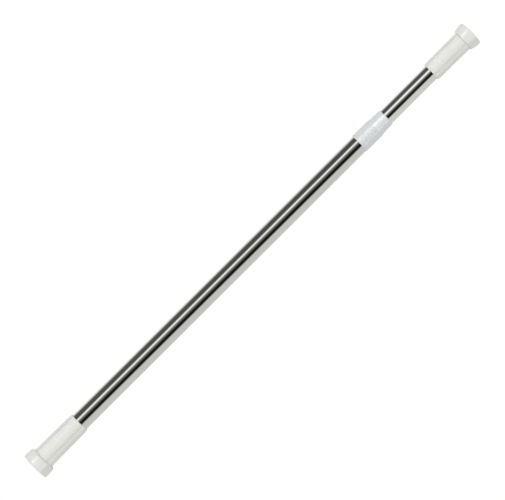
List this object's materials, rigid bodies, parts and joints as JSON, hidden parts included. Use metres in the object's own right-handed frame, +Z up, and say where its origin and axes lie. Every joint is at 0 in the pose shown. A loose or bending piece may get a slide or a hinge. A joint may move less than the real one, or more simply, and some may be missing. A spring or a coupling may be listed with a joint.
{
  "type": "pull up bar",
  "caption": "Telescopic doorway bar that twists to length: chromed tubes joined by a moulded collar, with soft sleeves and flared swivel feet that press against the door frame.",
  "frame": {"origin": "centre of the outer tube's foot, on the face that presses the wall", "axes": "+X along the bar from the outer tube's foot to the inner tube's foot, +Z up"},
  "size_m": [1.009, 0.0508, 0.0508],
  "materials": {
    "chrome_tube": "polished",
    "sleeve_vinyl": "satin",
    "foot_rubber": "satin",
    "collar_plastic": "gloss",
    "natural_nylon": "moulded",
    "black_acetal": "moulded",
    "zinc_steel": "zinc plated"
  },
  "bodies": {
    "outer_section": {"outer_tube": "chrome_tube", "joint_collar": "collar_plastic", "collar_bush": "natural_nylon", "outer_end_plug": "natural_nylon", "outer_end_sleeve": "sleeve_vinyl", "outer_pivot_screw": "zinc_steel", "outer_thrust_washer": "zinc_steel"},
    "outer_foot": {"outer_foot_pad": "foot_rubber", "outer_foot_plate": "natural_nylon"},
    "lock_core": {"cam_core": "black_acetal", "cam_end_flange": "black_acetal", "cam_cross_pin": "zinc_steel", "cam_washer": "zinc_steel", "cam_nut": "zinc_steel", "jack_screw": "zinc_steel", "stop_washer": "zinc_steel", "stop_nut": "zinc_steel"},
    "lock_shoe": {"lock_shoe": "natural_nylon"},
    "inner_foot": {"inner_foot_pad": "foot_rubber", "inner_foot_plate": "natural_nylon"},
    "inner_section": {"inner_tube": "chrome_tube", "thread_nut_plug": "natural_nylon", "glide_ring": "natural_nylon", "inner_end_plug": "natural_nylon", "inner_end_sleeve": "sleeve_vinyl", "inner_pivot_screw": "zinc_steel", "inner_thrust_washer": "zinc_steel"}
  },
  "joints": [
    {"name": "telescope", "type": "slide", "parent": "outer_section", "child": "lock_core", "axis": [1, 0, 0], "range_m": [-0.09, 0.3]},
    {"name": "cam_lock", "type": "hinge", "parent": "lock_core", "child": "lock_shoe", "pos_m": [0.35, 0, 0.001], "axis": [1, 0, 0], "range_deg": [0, 15]},
    {"name": "jack_advance", "type": "slide", "parent": "lock_core", "child": "inner_foot", "axis": [1, 0, 0], "range_m": [-0.01, 0.025]},
    {"name": "inner_twist", "type": "hinge", "parent": "inner_foot", "child": "inner_section", "pos_m": [0.7, 0, 0], "axis": [1, 0, 0], "range_deg": [-720, 1800]},
    {"name": "outer_foot_swivel", "type": "hinge", "parent": "outer_section", "child": "outer_foot", "pos_m": [0.01, 0, 0], "axis": [1, 0, 0], "continuous": true}
  ],
  "couplings": [
    {"joint": "jack_advance", "follows": "inner_twist", "m_per_rad": 0.00079577}
  ]
}
